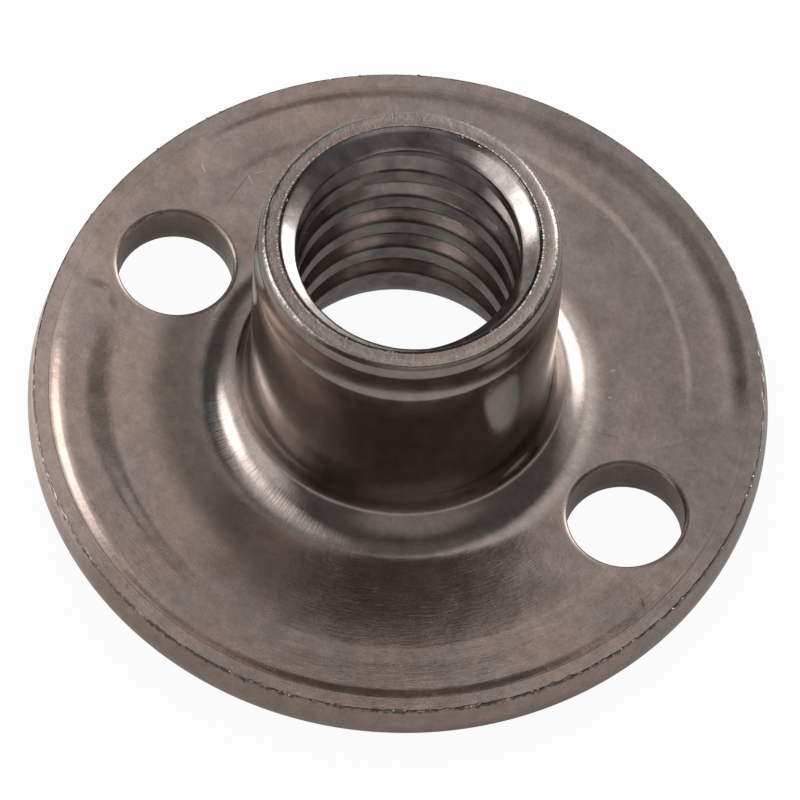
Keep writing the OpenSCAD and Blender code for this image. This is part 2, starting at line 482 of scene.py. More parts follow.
def outer_rows(blank, patch_low):
    """Rows from the mouth down the barrel and along the flare to the first row of the flange."""
    s = blank.sizes
    neck_r = BARREL_R - s.neck_step
    ring_r = neck_r - s.mouth_bevel_w
    corner_x, corner_z = ring_r - RING_CORNER_R, OVERALL_H - RING_CORNER_R
    bevel_z = OVERALL_H - s.mouth_bevel_h

    def uneven(rows, wear):
        """The rows, of which the first are worn back by their shares."""
        for i, share in enumerate(wear):
            radius, height = rows[i]
            rows[i] = (lambda turn, r=radius, part=share: r - part * s.ring_stray * worn(turn), height)
        return rows

    rows = [(ring_r - s.mouth_ring_w * t, OVERALL_H) for t in RING_SHARES]
    rows += uneven([(corner_x, OVERALL_H)], (1.0,))
    corner = arc((corner_x, corner_z), RING_CORNER_R, 90, CORNER_END, ROWS["mouth corner"])
    rows += uneven(corner, CORNER_WEAR)
    bevel_r = fall_r(s.mouth_bevel_h, s.mouth_bevel_w)
    bevel = arc((neck_r - bevel_r, bevel_z), bevel_r, BEVEL_START, 0, ROWS["bevel"])
    bevel[LINE_ROW] = (bevel[LINE_ROW][0] - s.turned_line, bevel[LINE_ROW][1])
    rows += uneven(bevel, BEVEL_WEAR)
    taper_high, taper_low = bevel_z - s.neck_flat_h, OVERALL_H - s.neck_h
    rows += [(neck_r, z) for z in steps(bevel_z, taper_high, ROWS["neck"])]
    for t in steps(0, 1, ROWS["taper"]):
        rows.append((neck_r + s.neck_step * t * t, taper_high + (taper_low - taper_high) * t))
    rows += [(BARREL_R, z) for z in steps(taper_low, s.sheet_t + s.flare_r, ROWS["barrel"])]
    end = math.degrees(math.asin((blank.foot_r - patch_low) / s.flare_r))
    flare = arc((blank.foot_r, s.sheet_t + s.flare_r), s.flare_r, 180, 270 - end, ROWS["flare"])
    return rows + flare[:-1]


def edge_rows(blank):
    """Rows down the sheared and rolled edge of the flange, nicked along its upper corner."""
    s = blank.sizes
    roll_x = FLANGE_R - s.edge_roll_r
    roll_z = blank.under(roll_x, 0) + s.edge_roll_r
    rim_z = blank.plate(blank.rim_top_r)
    land_top = roll_z + s.edge_land_h

    def nicked(radius, share):
        return lambda turn: radius - s.nick_d * share * chip(turn)

    rows = []
    for out, drop, share in RIM_CORNER_ROWS:
        rows.append((nicked(blank.rim_top_r + out * MM, share), rim_z - drop * MM))
    for t in steps(RIM_EDGE_START, 1, ROWS["rim edge"]):
        share = max(0.0, NICK_TOP - NICK_FALL * t)
        rows.append((nicked(blank.rim_top_r + s.edge_lean * t, share), rim_z + (land_top - rim_z) * t))
    rows += [(FLANGE_R, z) for z in steps(land_top, roll_z, ROWS["land"])]
    return rows + arc((roll_x, roll_z), s.edge_roll_r, 0, -90, ROWS["roll"])


def blank_skin(sizes):
    """The whole skin of the nut with a smooth bore."""
    blank = Blank(sizes)
    s = sizes
    skin = Skin()
    patch_low, patch_high = HOLE_X - HOLE_R - PATCH_MARGIN, HOLE_X + HOLE_R + PATCH_MARGIN

    rows, cone_low = bore_rows(blank)
    bore = []
    for radius, z in rows:
        bore.append(skin.ring(BORE_COLUMNS if cone_low < z < OVERALL_H else INNER_COLUMNS, radius, z))
    for row, ring, above in zip(rows, bore, bore[1:]):
        skin.join(ring, above, cut=row[1] >= cone_low)
    for row, ring in zip(rows[:-2], bore[:-2]):
        if row[1] > cone_low + BORE_ROW / 2:
            skin.bore.update(ring)

    outer = [skin.ring(OUTER_COLUMNS, r, z) for r, z in outer_rows(blank, patch_low)]
    edge_low = s.channel_in_r - s.channel_wander
    edge_high = s.channel_in_r + s.channel_wander + s.channel_slope_w
    radii = [patch_low] + steps(patch_low, edge_low, ROWS["flange"])
    radii += steps(edge_low, edge_high, ROWS["soft slope"])
    radii += steps(edge_high, patch_high, ROWS["channel"])
    top_rings, top_half = flange_rings(skin, radii, blank.top, OUTER_COLUMNS, True)
    skin.chain([bore[-1]] + outer + [top_rings[0]])

    band_low, band_high = blank.rim_band_r + BAND_STEP, blank.rim_top_r - RIM_STEP
    rim = steps(patch_high, band_low, ROWS["outside"]) + steps(band_low, band_high, ROWS["rim band"])
    edge = [skin.ring(OUTER_COLUMNS, r, blank.top) for r in rim]
    edge += [skin.ring(OUTER_COLUMNS, r, z) for r, z in edge_rows(blank)]
    under_rings, under_half = flange_rings(skin, radii[::2], blank.under, INNER_COLUMNS, False)
    rolled = skin.ring(INNER_COLUMNS, FLANGE_R - s.edge_roll_r - ROLL_STEP, blank.under)
    skin.chain([top_rings[-1]] + edge + [rolled, under_rings[-1]])
    foot = steps(patch_low, s.throat_r + s.bend_r, ROWS["foot"])[:-1]
    skin.chain([under_rings[0]] + [skin.ring(INNER_COLUMNS, r, 0.0) for r in foot] + [bore[0]])

    lip = [HOLE_R + s.hole_lip_w * t for t in LIP_SHARES]
    for side, centre_x in enumerate((HOLE_X, -HOLE_X)):
        border = patch_border(top_rings, top_half, side)
        rings = hole_rings(skin, border, centre_x, lip, blank.top, ROWS["patch top"])
        border = patch_border(under_rings, under_half, side)
        foot = [HOLE_R + FOOT_STEP, HOLE_R]
        below = hole_rings(skin, border, centre_x, foot, blank.under, ROWS["patch below"])
        wall = []
        for t in steps(0, WALL_END, ROWS["hole wall"]):
            ring = []
            for index in rings[-1]:
                x, y, z = skin.points[index]
                ring.append(skin.point(x, y, z + (blank.under(x, y) - z) * t))
            wall.append(ring)
        skin.chain(rings + wall + below[::-1])
    return skin, cone_low


def linked(name, data):
    """A new object in the scene."""
    made = bpy.data.objects.new(name, data)
    bpy.context.scene.collection.objects.link(made)
    return made


def mesh_object(name, skin, material):
    """An object of one skin, with its bore marked for the thread."""
    mesh = bpy.data.meshes.new(name)
    mesh.from_pydata(skin.points, [], skin.faces)
    mesh.validate()
    mark = mesh.attributes.new("bore", "BOOLEAN", "POINT")
    mark.data.foreach_set("value", [index in skin.bore for index in range(len(skin.points))])
    mesh.materials.append(material)
    return linked(name, mesh)


# ---------------------------------------------------------------- node helpers


class Wires:
    """Adds nodes to a tree and links them."""

    def __init__(self, tree):
        self.tree = tree

    def put(self, value, socket):
        """Links a socket, or writes a plain value."""
        if isinstance(value, bpy.types.NodeSocket):
            self.tree.links.new(value, socket)
        else:
            socket.default_value = value

    def node(self, kind, *values, named=None, **settings):
        """A node with its settings, its first inputs in order, and other inputs by name."""
        made = self.tree.nodes.new(kind)
        for key, value in settings.items():
            setattr(made, key, value)
        for value, socket in zip(values, made.inputs):
            self.put(value, socket)
        for key, value in (named or {}).items():
            self.put(value, made.inputs[key])
        return made

    def math(self, operation, *values, clamp=False):
        made = self.node("ShaderNodeMath", *values, operation=operation, use_clamp=clamp)
        return made.outputs[0]

    def fold(self, operation, values):
        total = values[0]
        for value in values[1:]:
            total = self.math(operation, total, value)
        return total

    def add(self, *values):
        return self.fold("ADD", values)

    def times(self, *values):
        return self.fold("MULTIPLY", values)

    def most(self, *values):
        return self.fold("MAXIMUM", values)

    def less(self, first, second):
        return self.math("SUBTRACT", first, second)

    def rest(self, share):
        """What a share leaves of 1."""
        return self.less(1.0, share)

    def swing(self, value):
        """A noise from 0 to 1, moved to swing about 0."""
        return self.less(value, 0.5)

    def fade(self, value, start, end):
        """0 at start, 1 at end, eased between; start may lie above end."""
        low, high = (start, end) if start < end else (end, start)
        made = self.node(
            "ShaderNodeMapRange", value, low, high, float(start > end), float(start < end),
            interpolation_type="SMOOTHSTEP",
        )
        return made.outputs[0]

    def band(self, value, low, high, soft):
        """1 between low and high, 0 outside."""
        rise, fall = self.fade(value, low - soft, low + soft), self.fade(value, high + soft, high - soft)
        return self.times(rise, fall)

    def near(self, value, width, soft):
        """1 near 0, fading out at a width to either side, over a share of it."""
        return self.fade(self.math("ABSOLUTE", value), width, width * soft)

    def blend(self, factor, first, second, mode="MIX"):
        """Mixes two colours."""
        made = self.tree.nodes.new("ShaderNodeMix")
        made.data_type, made.blend_type, made.clamp_factor = "RGBA", mode, True
        for value, index in ((factor, 0), (first, 6), (second, 7)):
            if isinstance(value, Color):
                value = (*value, 1.0)
            self.put(value, made.inputs[index])
        return made.outputs[2]

    def noise(self, vector, scale, detail, rough):
        made = self.node("ShaderNodeTexNoise", named={
            "Vector": vector, "Scale": scale, "Detail": detail, "Roughness": rough,
        })
        return made.outputs[0]

    def chance(self, low, high, seed):
        """A random number for each point."""
        made = self.node("FunctionNodeRandomValue", data_type="FLOAT")
        for value, index in ((low, 2), (high, 3), (seed, 8)):
            self.put(value, made.inputs[index])
        return made.outputs[1]

    def vector(self, x, y, z):
        return self.node("ShaderNodeCombineXYZ", x, y, z).outputs[0]

    def split(self, vector):
        return self.node("ShaderNodeSeparateXYZ", vector).outputs

    def vmath(self, operation, *values, **named):
        """A vector, or the number that a length, a distance or a product comes to."""
        made = self.node("ShaderNodeVectorMath", *values, named=named, operation=operation)
        return made.outputs["Value" if operation in ("LENGTH", "DISTANCE", "DOT_PRODUCT") else "Vector"]

    def turned(self, vector, angle):
        """A vector turned round Z."""
        values = {"Vector": vector, "Angle": angle}
        return self.node("ShaderNodeVectorRotate", named=values, rotation_type="Z_AXIS").outputs[0]

    def polar(self, radius, angle, height):
        """A place round the axis."""
        x, y = (self.times(radius, self.math(operation, angle)) for operation in ("COSINE", "SINE"))
        return self.vector(x, y, height)

    def give(self, geometry, material):
        """Ends a geometry tree in one real mesh of one material."""
        real = self.node("GeometryNodeRealizeInstances", geometry).outputs[0]
        coated = self.node("GeometryNodeSetMaterial", real, named={"Material": material}).outputs[0]
        self.node("NodeGroupOutput", coated)


def geometry_wires(name, kinds):
    """Wires of a new geometry tree, and its inputs: the geometry and a socket for each name."""
    tree = bpy.data.node_groups.new(name, "GeometryNodeTree")
    face = tree.interface
    face.new_socket("Geometry", in_out="INPUT", socket_type="NodeSocketGeometry")
    for label, kind in kinds.items():
        face.new_socket(label, in_out="INPUT", socket_type="NodeSocket" + kind)
    face.new_socket("Geometry", in_out="OUTPUT", socket_type="NodeSocketGeometry")
    return Wires(tree), tree.nodes.new("NodeGroupInput").outputs


def shader_wires(owner):
    """Wires of the emptied tree of a material or a world."""
    owner.use_nodes = True
    owner.node_tree.nodes.clear()
    return Wires(owner.node_tree)


# ---------------------------------------------------------------- thread and burrs


# share of the groove's depth over which its corners are rounded
THREAD_ROUND = 0.3
# how strongly the burrs crowd towards the heavy side, how far each may turn either way about Z, X and Y
# in radians, and the size of the smallest as a share of the largest
BURR_CROWD = 0.6
BURR_TURN, BURR_TILT, BURR_ROLL = 0.5, 0.5, 0.4
SMALLEST_BURR = 0.22


def thread_tree(material, names):
    """Node tree that cuts a helical groove into the marked points of a bore."""
    w, size = geometry_wires("Cut thread", dict.fromkeys(names, "Float"))
    x, y, z = w.split(w.node("GeometryNodeInputPosition").outputs[0])
    angle = w.math("ARCTAN2", y, x)
    centre = w.add(size["Groove Height"], w.times(size["Pitch"], angle, 1 / math.tau))
    turn = w.math("ROUND", w.math("DIVIDE", w.less(z, centre), size["Pitch"]))
    centre = w.add(centre, w.times(turn, size["Pitch"]))
    reach = w.math("ABSOLUTE", w.less(z, centre))
    crest = w.add(w.times(size["Root Width"], 0.5), size["Flank Width"])
    depth = w.math("DIVIDE", w.less(crest, reach), size["Flank Width"])
    depth = w.math("SMOOTH_MIN", w.math("SMOOTH_MAX", depth, 0.0, THREAD_ROUND), 1.0, THREAD_ROUND)
    above_foot = w.less(z, size["Foot"])
    fade = w.math("DIVIDE", above_foot, size["Run-out"], clamp=True)
    depth = w.times(depth, fade, w.less(size["Root Radius"], size["Crest Radius"]))
    radius = w.add(size["Crest Radius"], depth)
    entry = w.less(size["Throat Radius"], above_foot)
    sunk = w.less(size["Mouth Height"], z)
    lip = w.less(size["Mouth Radius"], w.times(sunk, size["Lip Slope"]))
    sink = w.less(size["Countersink Radius"], w.times(sunk, size["Countersink Slope"]))
    mouth = w.math("MINIMUM", lip, sink)
    radius = w.math("SMOOTH_MAX", w.most(radius, entry), mouth, size["Blend"])
    bore = w.node("GeometryNodeInputNamedAttribute", "bore", data_type="BOOLEAN").outputs[0]
    place = w.polar(radius, angle, z)
    w.give(w.node("GeometryNodeSetPosition", size["Geometry"], bore, place).outputs[0], material)
    return w.tree


def burr_tree(material):
    """Node tree that sets small faceted burrs along a round edge, closest together near one angle."""
    w, size = geometry_wires("Burrs", {
        "Count": "Int", "Seed": "Int", "Edge Radius": "Float", "Stray": "Float", "Edge Height": "Float",
        "Heavy Angle": "Float", "Length": "Float", "Width": "Float", "Height": "Float",
    })

    def draw(low, high, turn):
        return w.chance(low, high, w.add(size["Seed"], float(turn)))

    angle = draw(-math.pi, math.pi, 1)
    angle = w.less(angle, w.times(w.math("SINE", w.less(angle, size["Heavy Angle"])), BURR_CROWD))
    radius = w.add(size["Edge Radius"], w.times(size["Stray"], draw(-1.0, 1.0, 2)))
    place = w.polar(radius, angle, size["Edge Height"])
    points = w.node("GeometryNodePoints", size["Count"], place).outputs[0]
    # the place is worked out again for each point made, so the turn that goes with it is read back
    x, y, _ = w.split(w.node("GeometryNodeInputPosition").outputs[0])
    along = w.add(w.math("ARCTAN2", y, x), math.pi / 2, draw(-BURR_TURN, BURR_TURN, 3))
    turned = w.vector(draw(-BURR_TILT, BURR_TILT, 4), draw(-BURR_ROLL, BURR_ROLL, 5), along)
    small = draw(0.0, 1.0, 6)
    small = w.add(SMALLEST_BURR, w.times(small, small, 1 - SMALLEST_BURR))
    sized = w.vector(*(w.times(size[side], small, 0.5) for side in ("Length", "Width", "Height")))
    stone = w.node("GeometryNodeMeshIcoSphere", 1.0, 1).outputs[0]
    w.give(w.node("GeometryNodeInstanceOnPoints", points, named={
        "Instance": stone, "Rotation": turned, "Scale": sized,
    }).outputs[0], material)
    return w.tree


def run_tree(made, tree, material, values):
    """Sets a tree's inputs on an object and returns the result as a plain object of the same name."""
    modifier = made.modifiers.new(tree.name, "NODES")
    modifier.node_group = tree
    for item in tree.interface.items_tree:
        if item.in_out == "INPUT" and item.name in values:
            modifier[item.identifier] = values[item.name]
    depsgraph = bpy.context.evaluated_depsgraph_get()
    depsgraph.update()
    mesh = bpy.data.meshes.new_from_object(made.evaluated_get(depsgraph))
    made.modifiers.remove(modifier)
    mesh.materials.clear()
    mesh.materials.append(material)
    old, made.data = made.data, mesh
    mesh.name = made.name
    bpy.data.meshes.remove(old)
    return made


def keep_smooth(mesh):
    """Takes the sharp edges out of the bore, whose thread is rounded."""
    bore, sharp = mesh.attributes["bore"].data, mesh.attributes["sharp_edge"].data
    for edge in mesh.edges:
        if bore[edge.vertices[0]].value and bore[edge.vertices[1]].value:
            sharp[edge.index].value = False


def cut_thread(made, material, sizes, thread, cone_low):
    """Cuts the thread into the nut's bore."""
    blank = Blank(sizes)
    values = {
        "Pitch": thread.pitch, "Crest Radius": CREST_R, "Root Radius": thread.root_r,
        "Root Width": thread.root_w, "Flank Width": thread.flank_w, "Groove Height": thread.groove_z,
        "Foot": cone_low, "Run-out": thread.run_out, "Blend": thread.blend_r,
        "Throat Radius": sizes.throat_r, "Mouth Radius": blank.mouth_r, "Mouth Height": OVERALL_H,
        "Lip Slope": blank.lip_slope, "Countersink Radius": blank.sink_r,
        "Countersink Slope": blank.sink_slope,
    }
    return run_tree(made, thread_tree(material, values), material, values)


# ---------------------------------------------------------------- steel


# strokes on the flange: ends in mm, half width in mm, and how dark, where a minus is a bright one
STROKES = [
    ((-6.63, 2.28), (-6.62, 3.19), 0.028, 0.5),
    ((-6.60, 3.22), (-6.38, 3.09), 0.028, -0.5),
    ((-6.50, 3.38), (-6.38, 3.53), 0.025, -0.5),
    ((-7.78, 2.83), (-7.62, 2.72), 0.025, -0.9),
    ((-5.12, -0.87), (-4.75, -0.74), 0.022, -0.3),
    ((-4.75, -0.74), (-4.34, -0.43), 0.022, -0.3),
    ((-5.17, -0.69), (-5.19, -0.28), 0.022, -0.3),
    ((6.35, 2.02), (6.98, 2.75), 0.070, -0.14),
    ((4.83, 1.66), (5.43, 1.81), 0.030, 0.30),
    ((4.74, 5.94), (4.98, 6.35), 0.030, 0.3),
    ((6.36, -4.37), (6.87, -3.70), 0.060, -0.14),
    ((4.30, 3.43), (4.34, 3.47), 0.035, -0.9),
    ((4.65, 2.70), (4.69, 2.74), 0.035, -0.8),
    ((3.70, 1.23), (4.60, 0.85), 0.022, -0.22),
    ((4.10, 0.55), (4.95, 0.30), 0.020, -0.20),
    ((2.14, 6.81), (2.38, 6.61), 0.030, 0.4),
]
# soft dark smears: place in mm, length and half width in mm, turn in degrees, strength
SMEARS = [
    (-8.05, -1.62, 0.42, 0.17, 10, 0.55),
    (-7.50, -1.85, 0.40, 0.15, -45, 0.45),
    (-5.56, 0.75, 0.42, 0.05, 95, 0.60),
    (8.50, -2.00, 0.22, 0.06, -45, 0.60),
    (-7.00, 3.90, 0.90, 0.35, 60, 0.25),
]
# fine scratches: one in each cell, cells per mm, half width and reach in mm, turn in radians
HAIRS = (1.1, 0.012, 0.45, 0.4)
# noise of the finish: scale per mm, detail, roughness
NOISES = {
    "patch": (0.50, 3.0, 0.6), "grain": (17.0, 3.0, 0.6), "fleck": (6.0, 2.0, 0.6),
    "hollow": (1.9, 2.0, 0.5),
}
# noise that runs round the axis: scale per unit of the circle and per mm of height, detail, roughness
ROUND_NOISES = {
    "blotch": (4.0, 1.3, 2.0, 0.5), "break": (26.0, 0.0, 3.0, 0.7), "glint": (70.0, 20.0, 2.0, 0.6),
    "draw": (95.0, 2.0, 3.0, 0.7), "fine draw": (240.0, 1.5, 2.0, 0.6),
}
# noise in rings on the flange: scale per mm of radius and per unit of the circle, detail, roughness
LAP_NOISE = (15.0, 12.0, 3.0, 0.75)
# where a noise starts to count and where it counts in full
CUTS = {
    "patch": (0.40, 0.62), "blotch": (0.28, 0.68), "corner": (0.32, 0.55), "lip": (0.30, 0.5),
    "smear": (0.15, 0.6), "glint": (0.49, 0.57),
}
# heights in mm over which a finish, painted light, painted shade and painted glints fade in
HEIGHTS = {
    "flange top": (1.10, 1.22), "side": (1.37, 1.39), "hole wall": (0.22, 0.35), "deep bore": (6.5, 4.0),
    "bevel": (8.30, 8.45), "lip": (8.70, 8.78), "glint": (8.70, 8.76), "mouth": (8.76, 8.79),
}
# radii in mm over which a finish and painted shade fade in
RADII = {
    "mouth": (3.26, 3.30), "bore": (3.34, 3.28), "barrel": (3.4, 3.5), "barrel foot": (5.4, 4.9),
    "flange": (4.7, 5.4), "front shade": (7.6, 6.6), "side": (9.34, 9.38),
}
# rings in mm that hold a finish and painted shade, with the width that each fades over
BELTS = {"foot": (4.35, 5.05, 0.22), "shadow": (5.05, 6.3, 0.42), "hole wall": (3.7, 8.5, 0.1)}
# finish, painted light, painted shade and painted glints that fade in towards one side: turn in degrees,
# and from where to where along it in mm
SIDES = {
    "cool": (55, 0.0, 6.0), "shadow": (222, 2.5, 5.2), "front shade": (-62, 4.6, 6.0), "side": (208, 6.5, 9.4),
    "lit left": (210, 6.8, 8.8), "shaded right": (50, 5.2, 6.8), "darkening": (-75, 0.5, 3.0),
    "lap": (-62, 3.0, 6.0), "foot draw": (252, 3.4, 4.8), "glint": (40, 1.0, 2.6),
    "far glint": (215, 1.6, 2.8),
}
# ragged lines round the axis, darker ones and painted glints: radius, half width and stray in mm, and
# scale per unit of the circle
LINES = {
    "darkening": (8.972, 0.020, 0.05, 40.0), "corner": (9.352, 0.034, 0.09, 60.0),
    "lip": (3.285, 0.020, 0.04, 60.0), "inner glint": (3.322, 0.026, 0.05, 50.0),
    "outer glint": (3.66, 0.020, 0.05, 50.0),
}
# how strongly each second colour covers the steel
COVERS = {
    "cool patch": 0.55, "cool side": 0.45, "cool mouth": 0.9, "darkening": 0.6, "least dirt": 0.35,
    "corner": 0.85, "lip": 0.9, "glint": 0.9, "far glint": 0.8, "dark stroke": 0.8, "bright stroke": 0.6,
}
# share of the polish that reaches the bore, and of the scratches that reach the barrel
BORE_POLISH, BODY_HAIRS = 0.5, 0.6
MICROMETRE = 1e-6
# fresh metal of the burrs: noise per m, where it turns bright, roughness and what the noise adds
BURR_NOISE, BURR_BRIGHT = (9000.0, 2.0, 0.6), (0.35, 0.60)
BURR_ROUGH, BURR_ROUGHER = 0.12, 0.2


def stroke_mask(w, flat, start, end, width):
    """1 along a straight stroke between two places, fading over its width."""
    run = (end[0] - start[0], end[1] - start[1], 0.0)
    away = w.vmath("SUBTRACT", flat, (*start, 0.0))
    share = w.math("DIVIDE", w.vmath("DOT_PRODUCT", away, run), run[0] ** 2 + run[1] ** 2, clamp=True)
    return w.fade(w.vmath("DISTANCE", away, w.vmath("SCALE", run, Scale=share)), width, width * 0.3)


def smear_mask(w, flat, x, y, reach, width, turn):
    """1 in the middle of a soft oval, fading to its edge."""
    spun = w.turned(w.vmath("SUBTRACT", flat, (x, y, 0.0)), -math.radians(turn))
    return w.fade(w.vmath("LENGTH", w.vmath("MULTIPLY", spun, (1 / reach, 1 / width, 0.0))), 1.15, 0.2)


def hair_mask(w, place, scale, width, reach, turn):
    """Fine straight scratches, one in each random cell, turned each its own way."""
    cell = w.node("ShaderNodeTexVoronoi", named={"Vector": place, "Scale": scale, "Randomness": 1.0},
                  voronoi_dimensions="2D")
    red, green, _ = w.split(cell.outputs["Color"])
    offset = w.vmath("SUBTRACT", place, cell.outputs["Position"])
    across, along, _ = w.split(w.turned(offset, w.add(w.times(red, math.pi), turn)))
    return w.times(w.near(across, width, 0.2), w.near(along, reach, 0.4), w.fade(green, 0.3, 0.9))


class Zones:
    """Masks of the nut's regions, and the coordinates that the finish is laid along, in mm."""

    def __init__(self, w):
        self.w = w
        place = w.node("ShaderNodeTexCoord").outputs["Object"]
        self.place = w.vmath("MULTIPLY", place, (1 / MM, 1 / MM, 1 / MM))
        self.x, self.y, self.z = w.split(self.place)
        self.flat = w.vector(self.x, self.y, 0.0)
        self.radius = w.math("SQRT", w.add(w.times(self.x, self.x), w.times(self.y, self.y)))
        self.ray_x = w.math("DIVIDE", self.x, self.radius)
        self.ray_y = w.math("DIVIDE", self.y, self.radius)
        self.above = self.high("flange top")
        self.flange = w.times(self.out("flange"), self.above)
        self.foot = w.times(self.belt("foot"), self.above)
        self.body = w.times(self.out("barrel"), self.out("barrel foot"), self.above)
        self.side = w.times(self.out("side"), w.rest(self.high("side")))
        self.bore = self.out("bore")
        self.mouth = w.times(self.high("mouth"), self.out("mouth"))

    def high(self, name):
        return self.w.fade(self.z, *HEIGHTS[name])

    def out(self, name):
        return self.w.fade(self.radius, *RADII[name])

    def belt(self, name):
        return self.w.band(self.radius, *BELTS[name])

    def toward(self, name):
        """Fades in along a direction on the flange."""
        degrees, low, high = SIDES[name]
        turn, w = math.radians(degrees), self.w
        return w.fade(w.add(w.times(self.x, math.cos(turn)), w.times(self.y, math.sin(turn))), low, high)

    def around(self, scale, rise):
        """A place that runs round the axis, scale per unit of the circle and rise per mm of height."""
        w = self.w
        return w.vector(w.times(self.ray_x, scale), w.times(self.ray_y, scale), w.times(self.z, rise))

    def noise(self, name):
        return self.w.noise(self.place, *NOISES[name])

    def round_noise(self, name):
        scale, rise, detail, rough = ROUND_NOISES[name]
        return self.w.noise(self.around(scale, rise), 1.0, detail, rough)

    def line(self, name):
        """A thin ragged line round the axis."""
        radius, width, stray, scale = LINES[name]
        w = self.w
        wobble = w.swing(w.noise(self.around(scale, 0.0), 1.0, 3.0, 0.65))
        return w.near(w.add(self.radius, -radius, w.times(wobble, stray)), width, 0.35)


def steel_tint(w, zones, looks, grain, fleck, hollow):
    """Colour of the bare steel: warm, cooler in patches, with painted light and shade on some parts,
    darker ragged lines, stains and painted glints.
    """

    def cut(value, name):
        return w.fade(value, *CUTS[name])

    def cover(name, *masks):
        return w.times(*masks, COVERS[name])

    patch = cover("cool patch", cut(zones.noise("patch"), "patch"))
    cool = w.add(patch, cover("cool side", zones.toward("cool")))
    cool = w.times(w.most(zones.flange, cover("cool mouth", zones.mouth)), cool)
    tint = w.blend(cool, looks.steel, looks.violet)
    tint = w.blend(zones.body, tint, looks.polished)
    tint = w.blend(zones.bore, tint, looks.bored_and_lit)

    textures = ((0.35, fleck), (0.45, grain), (0.60, hollow))
    shade = w.add(1.0, *(w.times(w.swing(texture), change) for change, texture in textures))
    # how much lighter each part is, or darker below 0, and the masks that hold it: random tone, painted
    # light and painted shade
    parts = (
        # painted shade on the bevel and neck outside the mouth
        (-0.25, zones.high("bevel"), w.rest(w.most(zones.mouth, zones.bore))),
        (0.55, zones.bore, w.swing(cut(zones.round_noise("blotch"), "blotch"))),
        # painted light, growing deeper down in the bore
        (0.25, zones.bore, zones.high("deep bore")),
        # painted shade on the holes' walls below the flange's top
        (-0.22, zones.high("hole wall"), zones.belt("hole wall"), w.rest(zones.above)),
        # painted shade on the front of the flange near the barrel
        (-0.28, zones.flange, zones.toward("front shade"), zones.out("front shade")),
        # painted shadow on the flange beside the flare, on the left
        (-0.52, zones.belt("shadow"), zones.toward("shadow"), zones.above),
        # painted light on the left of the rim's outer wall
        (1.1, zones.side, zones.toward("side")),
        # painted light on the left of the flange
        (0.28, zones.flange, zones.toward("lit left")),
        # painted shade on the right of the flange
        (-0.16, zones.flange, zones.toward("shaded right")),
        (-0.08, zones.mouth),
    )
    for change, *masks in parts:
        shade = w.times(shade, w.add(1.0, w.times(*masks, change)))
    tint = w.blend(1.0, tint, w.vector(shade, shade, shade), mode="MULTIPLY")

    # darker ragged lines along the crease at the rim band (stronger towards the front), the rim's upper
    # corner and the mouth's inner edge, and the soft smears
    broken = zones.round_noise("break")
    front = w.most(zones.toward("darkening"), COVERS["least dirt"])
    darkening = w.most(
        cover("darkening", zones.line("darkening"), front, zones.above),
        cover("corner", zones.line("corner"), cut(broken, "corner"), zones.above),
        cover("lip", zones.line("lip"), zones.high("lip"), cut(broken, "lip")),
    )
    for x, y, reach, width, turn, strength in SMEARS:
        mask = smear_mask(w, zones.flat, x, y, reach, width, turn)
        darkening = w.most(darkening, w.times(mask, zones.flange, cut(fleck, "smear"), strength))
    tint = w.blend(darkening, tint, looks.stained)

    # painted glints: near-white specks along the mouth ring's inner and outer edges, mostly on two sides
    edges = w.most(zones.line("inner glint"), zones.line("outer glint"))
    sides = w.most(zones.toward("glint"), cover("far glint", zones.toward("far glint")))
    glint = cover("glint", cut(zones.round_noise("glint"), "glint"), edges, sides, zones.high("glint"))
    return w.blend(glint, tint, looks.painted_glint)


def steel_relief(w, zones, grain, fleck, hollow, hairs):
    """Height of the finish in micrometres."""
    flange, body, bore = zones.flange, zones.body, zones.bore
    across, around, detail, rough = LAP_NOISE
    rings = w.vector(*(w.times(value, scale) for value, scale in (
        (zones.radius, across), (zones.ray_x, around), (zones.ray_y, around),
    )))
    lapped = w.times(flange, w.add(0.8, w.times(zones.toward("lap"), 7.0)))
    drawn = w.times(zones.foot, zones.toward("foot draw"), 6.5)
    # each texture, and its height in each part
    textures = (
        (w.swing(grain), w.times(flange, 1.2), 0.4),
        (w.swing(fleck), w.times(flange, 1.6), 0.4),
        (w.swing(hollow), w.times(flange, 9.0), w.times(bore, 7.0)),
        (zones.round_noise("draw"), drawn, w.times(body, 0.6)),
        (zones.round_noise("fine draw"), w.times(body, 0.4), w.times(zones.side, 4.0)),
        (w.noise(rings, 1.0, detail, rough), w.times(bore, 3.0), lapped),
    )
    heights = [w.times(texture, w.add(*parts)) for texture, *parts in textures]
    mouth = w.times(w.add(w.times(grain, 5.0), w.times(fleck, 8.0)), zones.mouth)
    return w.add(*heights, mouth, w.times(hairs, -0.4))


